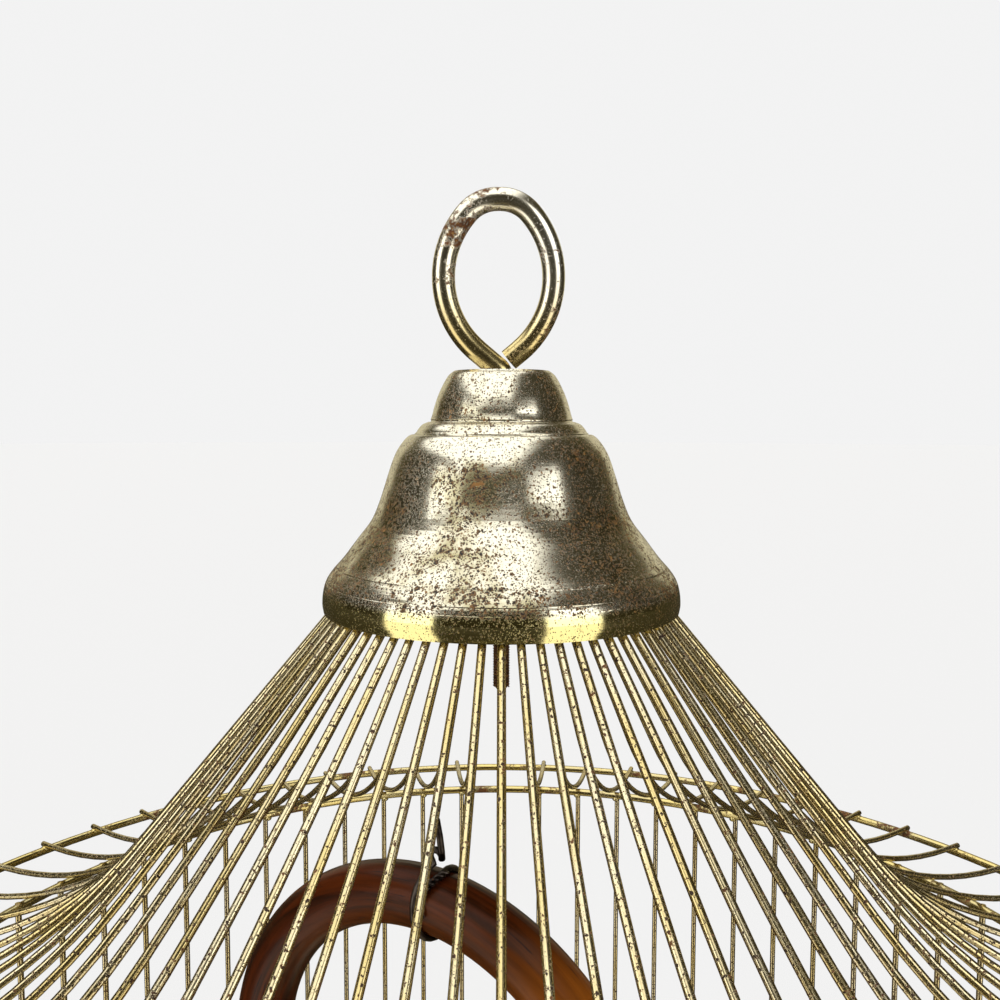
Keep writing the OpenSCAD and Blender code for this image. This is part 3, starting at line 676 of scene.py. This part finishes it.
def swept(bm, points, radius, sides=10):
    """Round wire through these points, closed at both ends."""
    rings = []
    for i, point in enumerate(points):
        ahead = points[min(i + 1, len(points) - 1)] - points[max(i - 1, 0)]
        place = Matrix.Translation(point) @ ahead.to_track_quat("Z", "Y").to_matrix().to_4x4()
        ring = bmesh.ops.create_circle(bm, cap_ends=i in (0, len(points) - 1), segments=sides,
                                       radius=radius, matrix=place)["verts"]
        rings.append({edge for vert in ring for edge in vert.link_edges})
    for ring, following in zip(rings, rings[1:]):
        bmesh.ops.bridge_loops(bm, edges=list(ring | following))


def on_stick(along, round_deg, out):
    """A point near the arch's top: along the stick, round it to the front, and out from its skin."""
    reach = WOOD_D / 2 + out
    angle = math.radians(round_deg)
    drop = along * along / (2 * ARCH_R)
    local = Vector((along, -reach * math.sin(angle), reach * math.cos(angle) - drop))
    top = arch_centre + Vector((0, 0, ARCH_R))
    return top + Matrix.Rotation(-ARCH_TURN, 3, "Z") @ local


TIE_R = 0.0009
LOOP_R = 0.0018
THIN_R = 0.0005               # the two twisted wires, and how far their middles stand apart
TWIST_R = 0.00062
TWIST_TURNS = 3.2
wound = [on_stick(0.0060 - 0.0042 * i / 24, 20 - 330 * i / 24, TIE_R) for i in range(25)]
foot = on_stick(0.0018, 15, 0.0014)
loop_mid = on_stick(0.0036, 4, 0.0042)
sideways = Matrix.Rotation(-ARCH_TURN, 3, "Z") @ Vector((1, 0, 0))
upward = Vector((0, 0, 1))
loop = [loop_mid + LOOP_R * (math.cos(math.radians(a)) * sideways + math.sin(math.radians(a)) * upward)
        for a in range(-110, -371, -20)]
stub = [loop[-1] + Vector((-0.0001, -0.0004, 0.0024)), loop[-1] + Vector((-0.0005, -0.0004, 0.006)),
        loop[-1] + Vector((-0.0013, -0.0002, 0.0105))]
bm = bmesh.new()
swept(bm, wound + [foot] + loop + stub, TIE_R)
for side in (0, math.pi):
    twist = []
    for i in range(34):
        t = i / 33
        middle = on_stick(0.0070 - 0.0034 * t, 8 + 58 * t, 0.0014)
        turn = side + 2 * math.pi * TWIST_TURNS * t
        off = math.cos(turn) * sideways + math.sin(turn) * Vector((0, -0.5, 0.85))
        twist.append(middle + TWIST_R * off)
    splay = 0.0016 if side else -0.0008
    twist += [on_stick(0.0036 + splay * k / 3, 66 + 8 * k, 0.0011 - 0.0001 * k) for k in (1, 2, 3)]
    swept(bm, twist, THIN_R, 8)
black_iron = plated("black_iron", (0.030, 0.024, 0.023), (0.11, 0.092, 0.08),
                    pits=0.5, crust=0.3, polish=0.36, wear_scale=160.0)
tie = finished("tie_wires", bm, black_iron, "arch")
paint("arch_tie", black_iron)
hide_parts("arch_tie")


# ---- Cups ------------------------------------------------------------------------
# Moulded white cups, one for seed and one for water.

glaze, tree, shader = new_material("white_cup", 0.2, Coat_Weight=0.3, Coat_Roughness=0.05)
clouds = noise(tree, own_place(tree), 60, 3)
tree.links.new(mix(tree, clouds, (0.80, 0.78, 0.72), (0.87, 0.86, 0.82)), shader.inputs["Base Color"])
bump(tree, shader, noise(tree, own_place(tree), 300, 2), 0.08, 0.0002)
for name in ("seed_cup", "water_cup"):
    paint(name, glaze)


# ---- Base drum and tray ------------------------------------------------------------
# Spun and folded sheet, brass plated.

sheet_plating = plated("sheet_plating", (0.62, 0.55, 0.34), (0.66, 0.61, 0.46),
                       pits=0.6, crust=0.22, size=1.3, polish=0.26, wear_scale=16)
for name in ("base_drum", "tray", "tray_pull"):
    paint(name, sheet_plating)


# ---- Stand --------------------------------------------------------------------------
# Four bent legs, a brace hoop and a top hoop of plated rod, with rubber feet.

leg_plating = plated("leg_plating", (0.60, 0.50, 0.24), (0.56, 0.50, 0.32),
                     pits=0.45, crust=0.3, size=1.6, polish=0.2, wear_scale=12)
for name in ("stand_hoop", "stand_cradles", "stand_legs", "stand_brace"):
    paint(name, leg_plating)
rubber, tree, shader = new_material("rubber", 0.75)
dust = noise(tree, own_place(tree), 180, 4)
tree.links.new(mix(tree, ramp(tree, dust, 0.4, 0.7), (0.012, 0.012, 0.011), (0.05, 0.047, 0.043)),
               shader.inputs["Base Color"])
bump(tree, shader, noise(tree, own_place(tree), 900, 2), 0.3, 0.0003)
paint("stand_feet", rubber)
